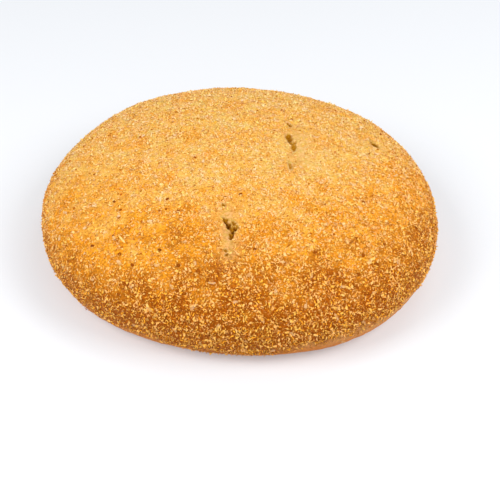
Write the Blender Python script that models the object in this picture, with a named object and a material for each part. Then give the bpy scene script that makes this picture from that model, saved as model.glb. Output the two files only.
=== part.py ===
"""A semolina loaf: one round, low-crowned bread with bran stuck to its crust and short tears in its top.

Metres, +Z up. The loaf stands on its flat foot at z = 0, and the middle of its outline is on the Z axis.
"""

import math
import random

import bmesh
import bpy
from mathutils import Matrix, Vector, noise
from mathutils.bvhtree import BVHTree

MM = 0.001

# The loaf's form
LOAF_ACROSS = 220 * MM  # mean width seen from above
LOAF_HEIGHT = 58 * MM
GIRTH_HEIGHT = 22 * MM  # height at which the side stands furthest out
FOOT_SHARE = 0.86  # width of the flat foot, as a share of the girth
CROWN_FULLNESS = 2.3  # 2 makes the crown an ellipse, and more makes it flatter with a rounder shoulder

# Waves that take the outline away from a circle: number round it, share of the radius, turn in degrees
OUTLINE_WAVES = ((2, 0.030, -23), (3, 0.012, -36), (4, 0.010, 36))

# Low swells left by shaping and proving
SWELL_SPACING = 45 * MM
SWELL_HEIGHT = 0.9 * MM
SWELL_FADE = 12 * MM  # the swells die out over this height above the foot

# Creases where the skin gave way in the oven: middle x and y, length, turn from +Y in degrees
CREASES = (
    (-5.5 * MM, -57 * MM, 40 * MM, 3),
    (29.0 * MM, 13 * MM, 52 * MM, -1),
    (78.0 * MM, 26 * MM, 10 * MM, 18),
)
CREASE_WIDTH = 7 * MM
CREASE_DEPTH = 0.9 * MM

# Tears along the creases: middle x and y, length, width, depth, turn from +Y in degrees
TEARS = (
    (-5.6 * MM, -55.5 * MM, 11.0 * MM, 4.6 * MM, 3.6 * MM, 14),
    (-3.0 * MM, -60.5 * MM, 9.0 * MM, 4.2 * MM, 4.0 * MM, -16),
    (-6.5 * MM, -72.5 * MM, 5.0 * MM, 2.2 * MM, 1.8 * MM, -8),
    (-8.2 * MM, -41.0 * MM, 3.6 * MM, 2.2 * MM, 1.5 * MM, 25),
    (28.4 * MM, 18.0 * MM, 11.0 * MM, 3.8 * MM, 2.8 * MM, 8),
    (30.6 * MM, 9.0 * MM, 9.0 * MM, 3.2 * MM, 2.4 * MM, -12),
    (29.3 * MM, 34.0 * MM, 5.6 * MM, 2.2 * MM, 1.8 * MM, 32),
    (27.8 * MM, -9.0 * MM, 6.0 * MM, 1.8 * MM, 1.3 * MM, -5),
    (78.0 * MM, 26.0 * MM, 7.5 * MM, 2.2 * MM, 2.0 * MM, 20),
)
TEAR_TAPER = 0.35  # share of the width that a tear loses towards its ends, beyond a plain lens
TEAR_CLEARANCE = 1.5 * MM  # no flake lies nearer to a tear than this

# The largest bran flakes, spread evenly from the crown's middle down to the bare skirt above the foot
FLAKE_COUNT = 210
FLAKE_LENGTH = (2.4 * MM, 4.0 * MM)
FLAKE_WIDTH = (1.4 * MM, 2.2 * MM)
FLAKE_THICKNESS = 0.9 * MM
FLAKE_PROUD = 0.45 * MM  # how far a flake's face stands above the crust
FLAKE_TILT = 10  # degrees
FLAKE_SIDES = 6
FLAKE_CORNERS = (0.75, 1.1)  # least and most reach of a corner, as a share of a plain flake's
FLAKE_TOP_SHARE = 0.8  # width of the upper face, as a share of the lower
SKIRT_HEIGHT = 9 * MM  # the crust below this was on the peel and caught no bran
SEED = 7

GOLDEN_TURN = math.pi * (3 - math.sqrt(5))  # turn between one flake and the next round the loaf
CORE_SUBDIVISIONS = 5
FOOT_LATITUDE = math.radians(50)  # a sphere's points below this latitude make the foot
CRUST_COLOUR = (0.72, 0.36, 0.09, 1)


def outline_radius(angle):
    """Radius of the girth in a direction seen from above, before the outline is centred."""
    waves = 0.0
    for count, share, turn in OUTLINE_WAVES:
        waves += share * math.cos(count * (angle - math.radians(turn)))
    return LOAF_ACROSS / 2 * (1 + waves)


def outline_middle(steps=720):
    """Middle of the outline's box, which the loaf is moved by to stand on the Z axis."""
    points = []
    for step in range(steps):
        angle = math.tau * step / steps
        radius = outline_radius(angle)
        points.append((radius * math.cos(angle), radius * math.sin(angle)))
    xs, ys = zip(*points)
    return Vector(((min(xs) + max(xs)) / 2, (min(ys) + max(ys)) / 2, 0))


MIDDLE = outline_middle()


def profile(latitude):
    """Share of the girth's radius, and height, at a sphere's latitude.

    From the top down these are the crown, the side's curl under the girth, and the flat foot.
    """
    if latitude >= 0:
        share = math.cos(latitude) ** (2 / CROWN_FULLNESS)
        rise = math.sin(latitude) ** (2 / CROWN_FULLNESS)
        return share, GIRTH_HEIGHT + (LOAF_HEIGHT - GIRTH_HEIGHT) * rise
    if -latitude < FOOT_LATITUDE:
        curl = -latitude / FOOT_LATITUDE * math.pi / 2
        return FOOT_SHARE + (1 - FOOT_SHARE) * math.cos(curl), GIRTH_HEIGHT * (1 - math.sin(curl))
    return FOOT_SHARE * (math.pi / 2 + latitude) / (math.pi / 2 - FOOT_LATITUDE), 0.0


def crease_depth(point):
    """How far a crease sinks the crust at a point: each trough fades to nothing at its sides and ends."""
    depth = 0.0
    for x, y, length, turn in CREASES:
        offset = Vector((point.x - x, point.y - y))
        across, along = Matrix.Rotation(-math.radians(turn), 2) @ offset
        side_fade = math.exp(-((across / (CREASE_WIDTH / 2)) ** 2))
        end_fade = math.exp(-((along / (length / 2)) ** 4))
        depth = max(depth, CREASE_DEPTH * side_fade * end_fade)
    return depth


def loaf_point(direction):
    """Where a point of the unit sphere comes to lie on the loaf's crust."""
    latitude = math.asin(max(-1.0, min(1.0, direction.z)))
    angle = math.atan2(direction.y, direction.x)
    share, height = profile(latitude)
    radius = outline_radius(angle) * share
    point = Vector((radius * math.cos(angle), radius * math.sin(angle), height)) - MIDDLE
    fade = min(1.0, height / SWELL_FADE)
    swell = SWELL_HEIGHT * fade * noise.noise(point / SWELL_SPACING)
    if latitude > 0:
        swell -= crease_depth(point)
    outward = Vector((share * math.cos(angle), share * math.sin(angle), max(0.0, direction.z)))
    return point + swell * outward


def loaf_core():
    """The bare loaf: a sphere's points moved to the crust, with the foot as one flat face."""
    mesh = bmesh.new()
    bmesh.ops.create_icosphere(mesh, subdivisions=CORE_SUBDIVISIONS, radius=1)
    for vertex in mesh.verts:
        vertex.co = loaf_point(vertex.co.normalized())
    foot = [face for face in mesh.faces if all(vertex.co.z < 0.01 * MM for vertex in face.verts)]
    bmesh.ops.dissolve_faces(mesh, faces=foot)
    return mesh


def spindle(length, width, depth):
    """A pointed lens that cuts one tear: its top half stands clear of the crust."""
    mesh = bmesh.new()
    bmesh.ops.create_icosphere(mesh, subdivisions=2, radius=1)
    for vertex in mesh.verts:
        x, y, z = vertex.co
        taper = 1 - TEAR_TAPER * abs(y)
        vertex.co = Vector((x * width / 2 * taper, y * length / 2, z * depth))
    return mesh


def flake(length, width, draw):
    """A bran flake: an uneven six-sided chip, narrower on its upper face."""
    mesh = bmesh.new()
    rings = []
    corners = [draw.uniform(*FLAKE_CORNERS) for _ in range(FLAKE_SIDES)]
    for height, spread in ((-FLAKE_THICKNESS / 2, 1.0), (FLAKE_THICKNESS / 2, FLAKE_TOP_SHARE)):
        ring = []
        for side, corner in enumerate(corners):
            angle = math.tau * side / FLAKE_SIDES
            x = corner * spread * length / 2 * math.cos(angle)
            y = corner * spread * width / 2 * math.sin(angle)
            ring.append(mesh.verts.new((x, y, height)))
        rings.append(ring)
    lower, upper = rings
    mesh.faces.new(reversed(lower))
    mesh.faces.new(upper)
    for side in range(FLAKE_SIDES):
        after = (side + 1) % FLAKE_SIDES
        mesh.faces.new((lower[side], lower[after], upper[after], upper[side]))
    return mesh


def add_object(name, mesh, place, collection):
    """A named object holding the mesh, at its place in the given collection."""
    data = bpy.data.meshes.new(name)
    mesh.to_mesh(data)
    mesh.free()
    made = bpy.data.objects.new(name, data)
    made.matrix_world = place
    collection.objects.link(made)
    return made


def laid_on(crust, near, turn, tilt=0.0, lift=0.0):
    """The place that lays a piece flat on the crust nearest to a point, turned about the normal there."""
    spot, normal, _, _ = crust.find_nearest(near)
    side = Vector((1, 0, 0)) if abs(normal.x) < 0.8 else Vector((0, 1, 0))
    along = normal.cross(side).normalized()
    axes = Matrix((along.cross(normal), along, normal)).transposed().to_4x4()
    turned = Matrix.Rotation(turn, 4, "Z") @ Matrix.Rotation(tilt, 4, "X")
    return Matrix.Translation(spot + normal * lift) @ axes @ turned


def area_above_latitudes(steps=400):
    """Latitudes from the crown's middle to the skirt, and the share of the crust's area above each."""
    latitudes, areas = [math.pi / 2], [0.0]
    share, height = profile(latitudes[0])
    for step in range(1, steps + 1):
        latitude = math.pi / 2 - step * (math.pi / 2 + FOOT_LATITUDE) / steps
        next_share, next_height = profile(latitude)
        if next_height < SKIRT_HEIGHT:
            break
        slant = math.hypot((next_share - share) * LOAF_ACROSS / 2, next_height - height)
        areas.append(areas[-1] + (share + next_share) / 2 * slant)
        latitudes.append(latitude)
        share, height = next_share, next_height
    return latitudes, [area / areas[-1] for area in areas]


def even_directions(count):
    """Directions that spread points evenly over the crust's area, on a spiral from the crown's middle."""
    latitudes, shares = area_above_latitudes()
    step = 0
    for index in range(count):
        wanted = (index + 0.5) / count
        while shares[step + 1] < wanted:
            step += 1
        part = (wanted - shares[step]) / (shares[step + 1] - shares[step])
        latitude = latitudes[step] + part * (latitudes[step + 1] - latitudes[step])
        angle = index * GOLDEN_TURN
        reach = math.cos(latitude)
        yield Vector((reach * math.cos(angle), reach * math.sin(angle), math.sin(latitude)))


def near_tear(point):
    """Whether a flake at this point would lie too near to a tear."""
    for x, y, length, *_ in TEARS:
        if math.dist((point.x, point.y), (x, y)) < length / 2 + TEAR_CLEARANCE:
            return True
    return False


def tear_cutters(crust, collection):
    """The lenses that cut the tears, laid along the crust."""
    for index, (x, y, length, width, depth, turn) in enumerate(TEARS):
        place = laid_on(crust, Vector((x, y, LOAF_HEIGHT)), math.radians(turn))
        add_object(f"tear_{index}", spindle(length, width, depth), place, collection)


def bran_flakes(crust, collection):
    """The largest bran flakes, each half sunk in the crust."""
    draw = random.Random(SEED)
    lift = FLAKE_PROUD - FLAKE_THICKNESS / 2
    for index, direction in enumerate(even_directions(FLAKE_COUNT)):
        near = loaf_point(direction)
        if near_tear(near):
            continue
        mesh = flake(draw.uniform(*FLAKE_LENGTH), draw.uniform(*FLAKE_WIDTH), draw)
        turn = draw.uniform(0, math.tau)
        tilt = math.radians(draw.uniform(-FLAKE_TILT, FLAKE_TILT))
        place = laid_on(crust, near, turn, tilt, lift)
        add_object(f"flake_{index}", mesh, place, collection)


def join_all(target, collection, operation, solver="EXACT"):
    """One applied Boolean between the target and all that the collection holds, which is then removed."""
    boolean = target.modifiers.new(operation.lower(), "BOOLEAN")
    boolean.operation = operation
    boolean.operand_type = "COLLECTION"
    boolean.collection = collection
    boolean.solver = solver
    bpy.context.view_layer.update()
    graph = bpy.context.evaluated_depsgraph_get()
    joined = bpy.data.meshes.new_from_object(target.evaluated_get(graph))
    target.modifiers.remove(boolean)
    target.data = joined
    for piece in list(collection.objects):
        bpy.data.objects.remove(piece)
    bpy.data.collections.remove(collection)


def new_collection(name):
    """An empty collection in the scene."""
    collection = bpy.data.collections.new(name)
    bpy.context.scene.collection.children.link(collection)
    return collection


def crust_material():
    """Golden baked crust, dry and matt."""
    material = bpy.data.materials.new("crust")
    material.use_nodes = True
    shader = material.node_tree.nodes["Principled BSDF"]
    shader.inputs["Base Color"].default_value = CRUST_COLOUR
    shader.inputs["Roughness"].default_value = 0.8
    shader.inputs["Metallic"].default_value = 0.0
    return material


def build_loaf():
    """The whole loaf as one solid."""
    core = loaf_core()
    crust = BVHTree.FromBMesh(core)
    loaf = add_object("loaf", core, Matrix.Identity(4), bpy.context.scene.collection)

    tears = new_collection("tears")
    tear_cutters(crust, tears)
    join_all(loaf, tears, "DIFFERENCE")

    flakes = new_collection("flakes")
    bran_flakes(crust, flakes)
    join_all(loaf, flakes, "UNION", solver="MANIFOLD")

    loaf.data.materials.clear()
    loaf.data.materials.append(crust_material())
    loaf.data.shade_smooth()
    loaf.data.set_sharp_from_angle(angle=math.radians(30))
    return loaf


def main():
    for old in list(bpy.data.objects):
        bpy.data.objects.remove(old)
    build_loaf()


main()
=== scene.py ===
# %% [markdown]
# # A semolina loaf with a bran crust
#
# The real thing is a round, flat hearth loaf, about as wide as a dinner plate. Before baking, its damp
# top and sides were rolled in coarse bran and semolina, so thousands of flakes are baked onto a smooth
# golden skin. The solids give its true form and its largest flakes. This script dresses them: a finer
# skin that keeps the same form, with all the flakes and grains as real, tiny pieces of mesh on it.

import math
import random
from itertools import product

import bmesh
import bpy
import numpy as np
from mathutils import Euler, Matrix, Vector, noise
from mathutils.bvhtree import BVHTree


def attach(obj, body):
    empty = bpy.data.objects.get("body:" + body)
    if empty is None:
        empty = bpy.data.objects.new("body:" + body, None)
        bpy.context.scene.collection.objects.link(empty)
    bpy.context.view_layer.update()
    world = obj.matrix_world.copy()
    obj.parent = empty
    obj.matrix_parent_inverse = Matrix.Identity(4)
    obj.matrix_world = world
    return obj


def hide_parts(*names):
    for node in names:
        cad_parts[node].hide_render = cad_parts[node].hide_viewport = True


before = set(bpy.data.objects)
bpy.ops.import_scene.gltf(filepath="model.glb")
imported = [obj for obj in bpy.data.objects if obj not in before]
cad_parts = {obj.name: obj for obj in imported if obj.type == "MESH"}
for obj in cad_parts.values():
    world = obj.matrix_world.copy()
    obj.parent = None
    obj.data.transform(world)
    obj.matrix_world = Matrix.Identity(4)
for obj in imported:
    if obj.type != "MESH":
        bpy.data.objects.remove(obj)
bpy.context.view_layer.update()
MM = 0.001

# %% [markdown]
# ## Camera
#
# The loaf is seen from a little above a seated person's view of a table, through a longish lens, which
# keeps the outline close to a plain ellipse. A camera can be set by aiming it at the object, or by its
# own angles. Here it is set by angles, because the loaf sits a little left of and above the frame's
# middle.

# %% Camera
CAMERA_DISTANCE = 0.671
CAMERA_ELEVATION = math.radians(38)
CAMERA_TURN_RIGHT = math.radians(0.70)  # away from straight at the loaf
CAMERA_TURN_DOWN = math.radians(2.61)
CAMERA_AIM = Vector((0, 0, 0.030))
FIELD_OF_VIEW = math.radians(24)
SENSOR_WIDTH = 36


def object_from(name, data):
    """A new object in the scene that holds a mesh, a lamp or a camera."""
    made = bpy.data.objects.new(name, data)
    bpy.context.scene.collection.objects.link(made)
    return made


def place_camera():
    """A camera in front of the loaf, level from side to side."""
    data = bpy.data.cameras.new("camera")
    data.sensor_width = SENSOR_WIDTH
    data.lens = SENSOR_WIDTH / 2 / math.tan(FIELD_OF_VIEW / 2)
    camera = object_from("camera", data)
    back = Vector((0, -math.cos(CAMERA_ELEVATION), math.sin(CAMERA_ELEVATION)))
    camera.location = CAMERA_AIM + back * CAMERA_DISTANCE
    pitch = math.pi / 2 - CAMERA_ELEVATION - CAMERA_TURN_DOWN
    camera.rotation_euler = Euler((pitch, 0, -CAMERA_TURN_RIGHT))
    bpy.context.scene.camera = camera
    return camera


camera = place_camera()
print("lens in mm:", round(camera.data.lens, 1))

# %% [markdown]
# ## Floor and light
#
# Food is often shown on a white sweep under very soft light, which leaves hardly any shadow. A studio
# gets that by lighting the sweep on its own, and the food apart from it. Here the floor glows faintly
# for the same reason, and it also throws light back onto the loaf's side. A pale sky gives the even
# light, and soft panels above and behind brighten the crown and let every flake on the front cast a
# small shadow.

# %% Floor and light
FLOOR_SIZE = 20.0
FLOOR_LOOK = {
    "Base Color": (0.60, 0.60, 0.61, 1),
    "Emission Color": (0.85, 0.92, 1.0, 1),
    "Emission Strength": 0.28,
    "Roughness": 0.9,
    "Specular IOR Level": 0.1,
}
SKY_COLOUR = (0.97, 0.985, 1.0, 1)
SKY_STRENGTH = 0.405
PANELS = (  # name, place, size and power
    ("panel_back", (0.40, 0.45, 1.10), 0.55, 1.7),
    ("panel_left", (-0.70, -0.34, 0.77), 0.6, 7.1),
    ("panel_right", (0.74, -0.30, 0.77), 0.6, 6.8),
    ("panel_front", (0.25, -0.80, 0.85), 0.6, 1.7),
)


def new_material(name, look):
    """A material, its node tree, and its shader with some inputs set by name."""
    material = bpy.data.materials.new(name)
    material.use_nodes = True
    shader = material.node_tree.nodes["Principled BSDF"]
    for label, value in look.items():
        shader.inputs[label].default_value = value
    return material, material.node_tree, shader


def soft_panel(name, place, size, power):
    """A square area light that points at the loaf."""
    data = bpy.data.lights.new(name, "AREA")
    data.shape = "SQUARE"
    data.size = size
    data.energy = power
    panel = object_from(name, data)
    panel.location = place
    panel.rotation_euler = (-Vector(place)).to_track_quat("-Z", "Y").to_euler()


def pale_floor():
    """A wide matt floor, which fills the view and glows faintly."""
    data = bpy.data.meshes.new("floor")
    signs = ((-1, -1), (1, -1), (1, 1), (-1, 1))
    data.from_pydata([(x * FLOOR_SIZE / 2, y * FLOOR_SIZE / 2, 0) for x, y in signs], [], [(0, 1, 2, 3)])
    data.materials.append(new_material("floor", FLOOR_LOOK)[0])
    object_from("floor", data)


def pale_sky():
    """Even light from all round."""
    world = bpy.data.worlds.new("studio")
    world.use_nodes = True
    background = world.node_tree.nodes["Background"]
    background.inputs["Color"].default_value = SKY_COLOUR
    background.inputs["Strength"].default_value = SKY_STRENGTH
    bpy.context.scene.world = world


pale_floor()
pale_sky()
for panel_values in PANELS:
    soft_panel(*panel_values)
bpy.context.scene.view_settings.view_transform = "Standard"

# %% [markdown]
# ## The loaf's form
#
# A hand-shaped loaf follows a simple rule. Seen from above it is a circle with a few long waves, and
# cut through its middle it is a low dome whose side curls under to a flat foot. So the form is two
# functions: the outline's radius in each direction, and the profile's width and height at each
# latitude, as on a globe. The solid follows the same rule with the same sizes, so the new skin lies
# where the solid does.

# %% Outline and profile
LOAF_ACROSS = 220 * MM
LOAF_HEIGHT = 58 * MM
GIRTH_HEIGHT = 22 * MM
FOOT_SHARE = 0.86
CROWN_FULLNESS = 2.3
OUTLINE_WAVES = ((2, 0.030, -23), (3, 0.012, -36), (4, 0.010, 36))  # count, share of the radius, degrees
FOOT_LATITUDE = math.radians(50)


def outline_radius(angle):
    """Radius of the girth in a direction seen from above."""
    waves = [share * np.cos(count * (angle - math.radians(turn))) for count, share, turn in OUTLINE_WAVES]
    return LOAF_ACROSS / 2 * (1 + sum(waves))


def outline_middle(steps=720):
    """Middle of the outline's box, which the loaf is moved by to stand on the Z axis."""
    angle = np.arange(steps) * math.tau / steps
    edge = outline_radius(angle) * np.array([np.cos(angle), np.sin(angle)])
    return np.array([*(edge.min(axis=1) + edge.max(axis=1)) / 2, 0])


def profile(latitude):
    """Share of the girth's radius, and height: the crown, the side's curl under, then the flat foot."""
    up = np.clip(latitude, 0, math.pi / 2)
    curl = np.clip(-latitude / FOOT_LATITUDE, 0, 1) * math.pi / 2
    crown_share = np.cos(up) ** (2 / CROWN_FULLNESS)
    curl_share = FOOT_SHARE + (1 - FOOT_SHARE) * np.cos(curl)
    foot_share = FOOT_SHARE * (math.pi / 2 + latitude) / (math.pi / 2 - FOOT_LATITUDE)
    share = np.where(latitude >= 0, crown_share, np.minimum(curl_share, foot_share))
    crown_height = GIRTH_HEIGHT + (LOAF_HEIGHT - GIRTH_HEIGHT) * np.sin(up) ** (2 / CROWN_FULLNESS)
    height = np.where(latitude >= 0, crown_height, GIRTH_HEIGHT * (1 - np.sin(curl)))
    return share, height


MIDDLE = outline_middle()

# %% [markdown]
# ## Swells, creases and tears
#
# Proving leaves low swells, and in the oven the skin gives way along a few creases, where short tears
# open. A tear could be cut with a Boolean, which leaves hard edges. Here the skin itself is pressed in,
# with the tear's width and depth, so the skin turns over its edge as real crust does.

# %% Swells, creases and tears


def in_metres(lengths, *rows):
    """The rows of a table, whose first few numbers are lengths in mm, with those in metres."""
    return [tuple(value * MM for value in row[:lengths]) + row[lengths:] for row in rows]


SWELL_SPACING = 45 * MM
SWELL_HEIGHT = 0.9 * MM
SWELL_FADE = 12 * MM
CREASES = in_metres(  # middle x and y, length, and turn from +Y in degrees
    3,
    (-5.5, -57, 40, 3),
    (29.0, 13, 52, -1),
    (78.0, 26, 10, 18),
)
CREASE_WIDTH = 7 * MM
CREASE_DEPTH = 0.9 * MM
TEARS = in_metres(  # middle x and y, length, width, depth, and turn from +Y in degrees
    5,
    (-5.6, -55.5, 11.0, 4.6, 3.6, 14),
    (-3.0, -60.5, 9.0, 4.2, 4.0, -16),
    (-6.5, -72.5, 5.0, 2.2, 1.8, -8),
    (-8.2, -41.0, 3.6, 2.2, 1.5, 25),
    (28.4, 18.0, 11.0, 3.8, 2.8, 8),
    (30.6, 9.0, 9.0, 3.2, 2.4, -12),
    (29.3, 34.0, 5.6, 2.2, 1.8, 32),
    (27.8, -9.0, 6.0, 1.8, 1.3, -5),
    (78.0, 26.0, 7.5, 2.2, 2.0, 20),
)
PITS = in_metres(  # the same tears as they open in the skin, with the same columns
    5,
    (-5.6, -54.6, 5.6, 2.8, 2.6, 30),
    (-7.0, -51.8, 6.6, 2.5, 2.3, 30),
    (-4.4, -56.8, 4.4, 2.8, 1.5, 60),
    (-3.1, -57.6, 4.4, 3.0, 3.4, -24),
    (-4.0, -61.2, 6.6, 2.6, 2.0, -20),
    (-2.9, -53.8, 4.8, 2.6, 1.4, 34),
    (-1.5, -57.2, 5.2, 2.0, 1.5, -14),
    (-6.8, -71.0, 2.8, 1.9, 1.0, 21),
    (-6.3, -73.4, 2.8, 1.7, 1.0, -63),
    (-8.0, -40.2, 3.2, 2.1, 1.3, 28),
    (29.6, 35.5, 6.0, 2.4, 1.3, 32),
    (28.9, 20.6, 9.6, 3.8, 1.9, 12),
    (30.9, 10.9, 9.6, 2.9, 1.2, 6),
    (30.0, 15.4, 7.0, 2.8, 1.2, 24),
    (32.0, 14.6, 5.0, 2.0, 0.8, -18),
    (28.4, -6.6, 8.6, 2.8, 0.8, 6),
    (78.0, 24.6, 8.0, 3.8, 3.3, 27),
    (77.9, 24.8, 6.0, 2.2, 3.9, 27),
)


def noise_at(points, size):
    """Smooth noise from -1 to 1 at each point, with lumps of about the given size."""
    return np.array([noise.noise(Vector(point / size)) for point in points])


def along_and_across(points, x, y, turn):
    """Each point's distance along and across a line through (x, y), turned from +Y."""
    turn = math.radians(turn)
    east, north = points[:, 0] - x, points[:, 1] - y
    return north * math.cos(turn) - east * math.sin(turn), east * math.cos(turn) + north * math.sin(turn)


def crease_share(points):
    """How much of a crease's full depth each point has, from 0 to 1."""
    share = np.zeros(len(points))
    for x, y, length, turn in CREASES:
        along, across = along_and_across(points, x, y, turn)
        here = np.exp(-((across / (CREASE_WIDTH / 2)) ** 2)) * np.exp(-((along / (length / 2)) ** 4))
        share = np.maximum(share, here)
    return share


def crust_points(latitude, angle):
    """Points of the bare crust, without tears."""
    share, height = profile(latitude)
    radius = outline_radius(angle) * share
    points = np.stack([radius * np.cos(angle), radius * np.sin(angle), height], axis=1) - MIDDLE
    swell = SWELL_HEIGHT * np.minimum(1, height / SWELL_FADE) * noise_at(points, SWELL_SPACING)
    swell -= np.where(latitude > 0, CREASE_DEPTH * crease_share(points), 0)
    lift = np.maximum(0, np.sin(latitude))
    outward = np.stack([share * np.cos(angle), share * np.sin(angle), lift], axis=1)
    return points + swell[:, None] * outward


# %% [markdown]
# ## The skin's mesh
#
# A UV sphere would crowd its points at the crown's middle, so the skin starts as an icosphere, whose
# triangles are all alike. Each point's height on the sphere says what share of the loaf's area lies
# above it, so the triangles stay alike on the loaf too. The foot counts for little, as nobody sees it,
# and the triangles near the tears are divided again, because a tear's edge is only a few millimetres
# across.

# %% The skin's mesh
SPHERE_SUBDIVISIONS = 7
FOOT_WEIGHT = 0.1
TEAR_MARGIN = 3.5 * MM
TEAR_CUTS = 5


def latitude_at(area_share, latitude, foot_weight=1.0):
    """The latitudes, out of a falling row of them, that leave given shares of the area above them."""
    share, height = profile(latitude)
    slant = np.hypot(np.diff(share) * LOAF_ACROSS / 2, np.diff(height))
    weight = np.where(latitude[1:] < -FOOT_LATITUDE, foot_weight, 1.0)
    area = np.concatenate([[0], np.cumsum((share[1:] + share[:-1]) / 2 * slant * weight)])
    return np.interp(area_share, area / area[-1], latitude)


def on_crust(directions, steps=4000):
    """Where directions on the unit sphere come to lie on the crust."""
    directions = directions / np.linalg.norm(directions, axis=1, keepdims=True)
    falling = np.linspace(math.pi / 2, -math.pi / 2, steps)
    latitude = latitude_at((1 - directions[:, 2]) / 2, falling, FOOT_WEIGHT)
    return crust_points(latitude, np.arctan2(directions[:, 1], directions[:, 0]))


def vertex_array(mesh):
    """The points of a bmesh as an array."""
    return np.array([vertex.co[:] for vertex in mesh.verts])


def away_from(points, x, y):
    """How far each point is from a place seen from above."""
    return np.hypot(points[:, 0] - x, points[:, 1] - y)


def fine_near_tears():
    """An icosphere with smaller triangles where tears will be."""
    mesh = bmesh.new()
    bmesh.ops.create_icosphere(mesh, subdivisions=SPHERE_SUBDIVISIONS, radius=1)
    points = on_crust(vertex_array(mesh))
    near = np.zeros(len(points), bool)
    for x, y, length, *_ in TEARS:
        close = away_from(points, x, y) < length / 2 + TEAR_MARGIN
        near |= close & (points[:, 2] > LOAF_HEIGHT / 2)
    edges = [edge for edge in mesh.edges if near[edge.verts[0].index] and near[edge.verts[1].index]]
    bmesh.ops.subdivide_edges(mesh, edges=edges, cuts=TEAR_CUTS, use_grid_fill=True)
    bmesh.ops.triangulate(mesh, faces=mesh.faces)
    return mesh


def mesh_from_bmesh(name, mesh):
    """A plain mesh from a bmesh, which is freed."""
    data = bpy.data.meshes.new(name)
    mesh.to_mesh(data)
    mesh.free()
    return data


def plain_skin():
    """The skin without tears, as a mesh."""
    mesh = fine_near_tears()
    points = on_crust(vertex_array(mesh))
    for vertex, point in zip(mesh.verts, points):
        vertex.co = point
    return mesh_from_bmesh("loaf_crust", mesh)


skin = plain_skin()
print("skin's triangles:", len(skin.polygons))

# %% [markdown]
# ## Pressing the tears in
#
# Each tear opens as a few overlapping oval pits in skin that sags a little, and a pit's rim is ragged.
# The rim could be drawn by hand. It is quicker, and looks as natural, to shift the points by a little
# noise before asking how deep a pit is there. Four values are kept on every point for later: how torn
# the skin is, how bare, how well bran covers it, and how much of the side's strong baking it had, with
# painted shade towards the front.
# Around the tears the skin stretched after it was rolled in bran, so it stays bare, and the lowest
# skirt lay on the peel and caught no bran either.

# %% Pressing the tears in
RAGGED_SIZE = 1.7 * MM
RAGGED_REACH = 0.85 * MM
RAGGED_OFFSETS = (0.0, 0.1, 0.2)  # reads the noise at three far places, for X, Y and Z
SAG_SHARE = 0.25  # how far the whole tear sinks, as a share of its depth in the solid
SAG_WIDTH = 1.6  # how wide that is, as a share of the tear's width
LIP_HEIGHT = 0.5 * MM
LIP_WIDTH = 0.35  # as a share of the pit's own half-width
DEEP_CRUMB = 3.0 * MM  # crumb this deep gets the darkest painted shade
RIM_TINT_SHARE = 0.12  # how much of the crumb's colour is spread onto the skin round a pit's rim
RIM_TINT_REACH = 0.8  # and how far out, as a share of the pit's own half-width
BARE_BANDS = in_metres(  # where the skin stretched: middle x and y, length, width, turn, how bare
    4,
    (-5.5, -57, 42, 11, 3, 0.85),
    (35.0, 12, 46, 18, -2, 0.75),
    (78.0, 25, 12, 9, 18, 0.75),
)
CLEAR_REACH = 1.15  # no bran this near to a pit, counted in its own half-widths
CLEAR_FADE = 0.5
SKIRT_TOP = 9.5 * MM
SKIRT_WAVES = (  # direction and half-width in degrees, and how much higher the skirt is there
    (-92, 16, -7.5 * MM),
    (-50, 26, 4.5 * MM),
)
SKIRT_FRAY = 4 * MM
SKIRT_FRAY_SIZE = 9 * MM
SKIRT_FADE = 7 * MM  # bran thins out over this height
BROWN_BELOW = 52 * MM  # the crust browns from here down
BROWN_SPAN = 48 * MM
HOT_AND_SHADED_SIDE = (0.15, -0.95)  # the way from the middle to the browner side: partly the oven's hotter side, partly painted shade on the front, which faces away from the back light
HOT_AND_SHADED_SHARE = 0.62
FAR_SIDE_LIMIT = -0.45  # the far side is no paler than this far away from the heat and the painted shade
BAKED = in_metres(  # patches that browned more or less: middle x and y, radius, how much
    3,
    (-62, -24, 44, 0.13),
    (-20, -62, 26, 0.12),
    (62, -24, 46, 0.02),
    (-84, -68, 36, -0.15),
    (-112, -10, 32, -0.12),
)
SPARSE = in_metres(  # where little bran stuck: middle x and y, radius, share that is missing
    3,
    (-62, -44, 34, 0.45),
    (-88, -8, 26, 0.45),
    (-24, -72, 22, 0.35),
    (-70, -64, 34, 0.25),
)


def array_of(mesh):
    """The points of a mesh as an array."""
    values = np.empty(len(mesh.vertices) * 3)
    mesh.vertices.foreach_get("co", values)
    return values.reshape(-1, 3)


def ragged(points):
    """The points shifted by a little noise."""
    shift = [noise_at(points + offset, RAGGED_SIZE) for offset in RAGGED_OFFSETS]
    return points + RAGGED_REACH * np.stack(shift, axis=1)


def reach_from(points, length, width, x, y, turn):
    """How far each point lies from the middle of an oval: 1 at its edge."""
    along, across = along_and_across(points, x, y, turn)
    return np.hypot(along / (length / 2), across / (width / 2))


def tear_shape(points):
    """How far each point is pressed in, how high its lip is, and how deep in a tear it lies, 0 to 1."""
    sag, press, lip, inside = np.zeros((4, len(points)))
    shifted = ragged(points)
    for x, y, length, width, depth, turn in TEARS:
        reach = reach_from(points, length, SAG_WIDTH * width, x, y, turn)
        sag = np.maximum(sag, SAG_SHARE * depth * np.exp(-(reach**2)))
    for x, y, length, width, depth, turn in PITS:
        reach = reach_from(shifted, length, width, x, y, turn)
        hollow = np.clip(1 - reach**2, 0, 1)
        press = np.maximum(press, depth * hollow)
        rim_tint = RIM_TINT_SHARE * np.clip(1 + RIM_TINT_REACH - reach, 0, 1)
        inside = np.maximum(inside, np.maximum(hollow, rim_tint) * depth / DEEP_CRUMB)
        lip = np.maximum(lip, depth / DEEP_CRUMB * np.exp(-(((reach - 1 - LIP_WIDTH) / LIP_WIDTH) ** 2)))
    return sag + press, LIP_HEIGHT * lip, np.minimum(inside, 1)


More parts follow.
